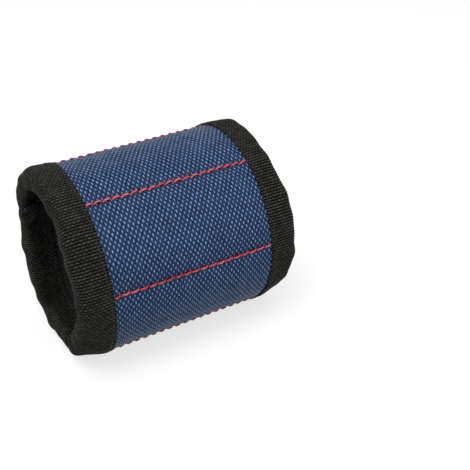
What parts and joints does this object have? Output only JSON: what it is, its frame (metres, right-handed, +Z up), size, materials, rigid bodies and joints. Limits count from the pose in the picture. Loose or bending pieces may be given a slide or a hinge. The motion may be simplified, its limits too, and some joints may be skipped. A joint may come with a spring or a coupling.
{
  "type": "magnetic wristband",
  "caption": "Padded textile wristband that holds small steel hardware on magnets sewn into pockets, bound with tape at both rims and closed round the wrist by a hook-and-loop strap.",
  "frame": {"origin": "middle of the band's outline, on the surface that its flat underside stands on", "axes": "+X along the wrist, +Y to the closure at the back, +Z up; the middle pocket faces up and to the front"},
  "size_m": [0.092, 0.0764, 0.075],
  "materials": {
    "outer_cloth": "navy ballistic nylon, coarse plain weave",
    "binding": "black ribbed binding tape",
    "lining": "black breathable spacer mesh",
    "padding": "grey felted foam",
    "magnet": "nickel plated",
    "webbing": "black nylon webbing",
    "hook_plastic": "black moulded hooks",
    "loop_pile": "black brushed loop pile",
    "thread": "red polyester thread"
  },
  "bodies": {
    "centre_pocket": {"centre_pocket_outer_cloth": "outer_cloth", "centre_pocket_lining": "lining", "centre_pocket_left_binding": "binding", "centre_pocket_right_binding": "binding", "centre_pocket_backing": "padding", "centre_pocket_magnet_1": "magnet", "centre_pocket_magnet_2": "magnet", "centre_pocket_magnet_3": "magnet", "centre_pocket_magnet_4": "magnet", "centre_pocket_magnet_5": "magnet", "upper_seam_stitching": "thread", "lower_seam_stitching": "thread"},
    "upper_pocket": {"upper_pocket_outer_cloth": "outer_cloth", "upper_pocket_lining": "lining", "upper_pocket_left_binding": "binding", "upper_pocket_right_binding": "binding", "upper_pocket_backing": "padding", "upper_pocket_magnet_1": "magnet", "upper_pocket_magnet_2": "magnet", "upper_pocket_magnet_3": "magnet", "upper_pocket_magnet_4": "magnet", "upper_pocket_magnet_5": "magnet", "top_seam_stitching": "thread"},
    "strap_end": {"strap_end_outer_cloth": "outer_cloth", "strap_end_lining": "lining", "strap_end_left_binding": "binding", "strap_end_right_binding": "binding", "strap_end_padding": "padding", "strap_root": "webbing", "strap_end_hem": "binding"},
    "closure_strap": {"closure_strap": "webbing", "hook_tape": "hook_plastic"},
    "lower_pocket": {"lower_pocket_outer_cloth": "outer_cloth", "lower_pocket_lining": "lining", "lower_pocket_left_binding": "binding", "lower_pocket_right_binding": "binding", "lower_pocket_backing": "padding", "lower_pocket_magnet_1": "magnet", "lower_pocket_magnet_2": "magnet", "lower_pocket_magnet_3": "magnet", "lower_pocket_magnet_4": "magnet", "lower_pocket_magnet_5": "magnet", "base_seam_stitching": "thread"},
    "loop_end": {"loop_end_outer_cloth": "outer_cloth", "loop_end_lining": "lining", "loop_end_left_binding": "binding", "loop_end_right_binding": "binding", "loop_end_padding": "padding", "loop_patch": "loop_pile", "loop_end_outer_hem": "binding", "loop_end_inner_hem": "binding"}
  },
  "joints": [
    {"name": "unwrap", "type": "hinge", "parent": "centre_pocket", "child": "upper_pocket", "pos_m": [0, -0.0178, 0.0708], "axis": [1, 0, 0], "range_deg": [0, 54]},
    {"name": "top_seam_fold", "type": "hinge", "parent": "upper_pocket", "child": "strap_end", "pos_m": [0, 0.01786, 0.07143], "axis": [1, 0, 0], "range_deg": [0, 54]},
    {"name": "lower_seam_fold", "type": "hinge", "parent": "lower_pocket", "child": "centre_pocket", "pos_m": [0, -0.03826, 0.04158], "axis": [1, 0, 0], "range_deg": [0, 54]},
    {"name": "base_seam_fold", "type": "hinge", "parent": "loop_end", "child": "lower_pocket", "pos_m": [0, -0.02666, 0.00784], "axis": [1, 0, 0], "range_deg": [0, 54]},
    {"name": "strap_peel", "type": "hinge", "parent": "strap_end", "child": "closure_strap", "pos_m": [0, 0.03861, 0.04627], "axis": [1, 0, 0], "range_deg": [0, 110]}
  ],
  "couplings": [
    {"joint": "top_seam_fold", "follows": "unwrap", "ratio": 1},
    {"joint": "lower_seam_fold", "follows": "unwrap", "ratio": 1},
    {"joint": "base_seam_fold", "follows": "unwrap", "ratio": 1}
  ]
}
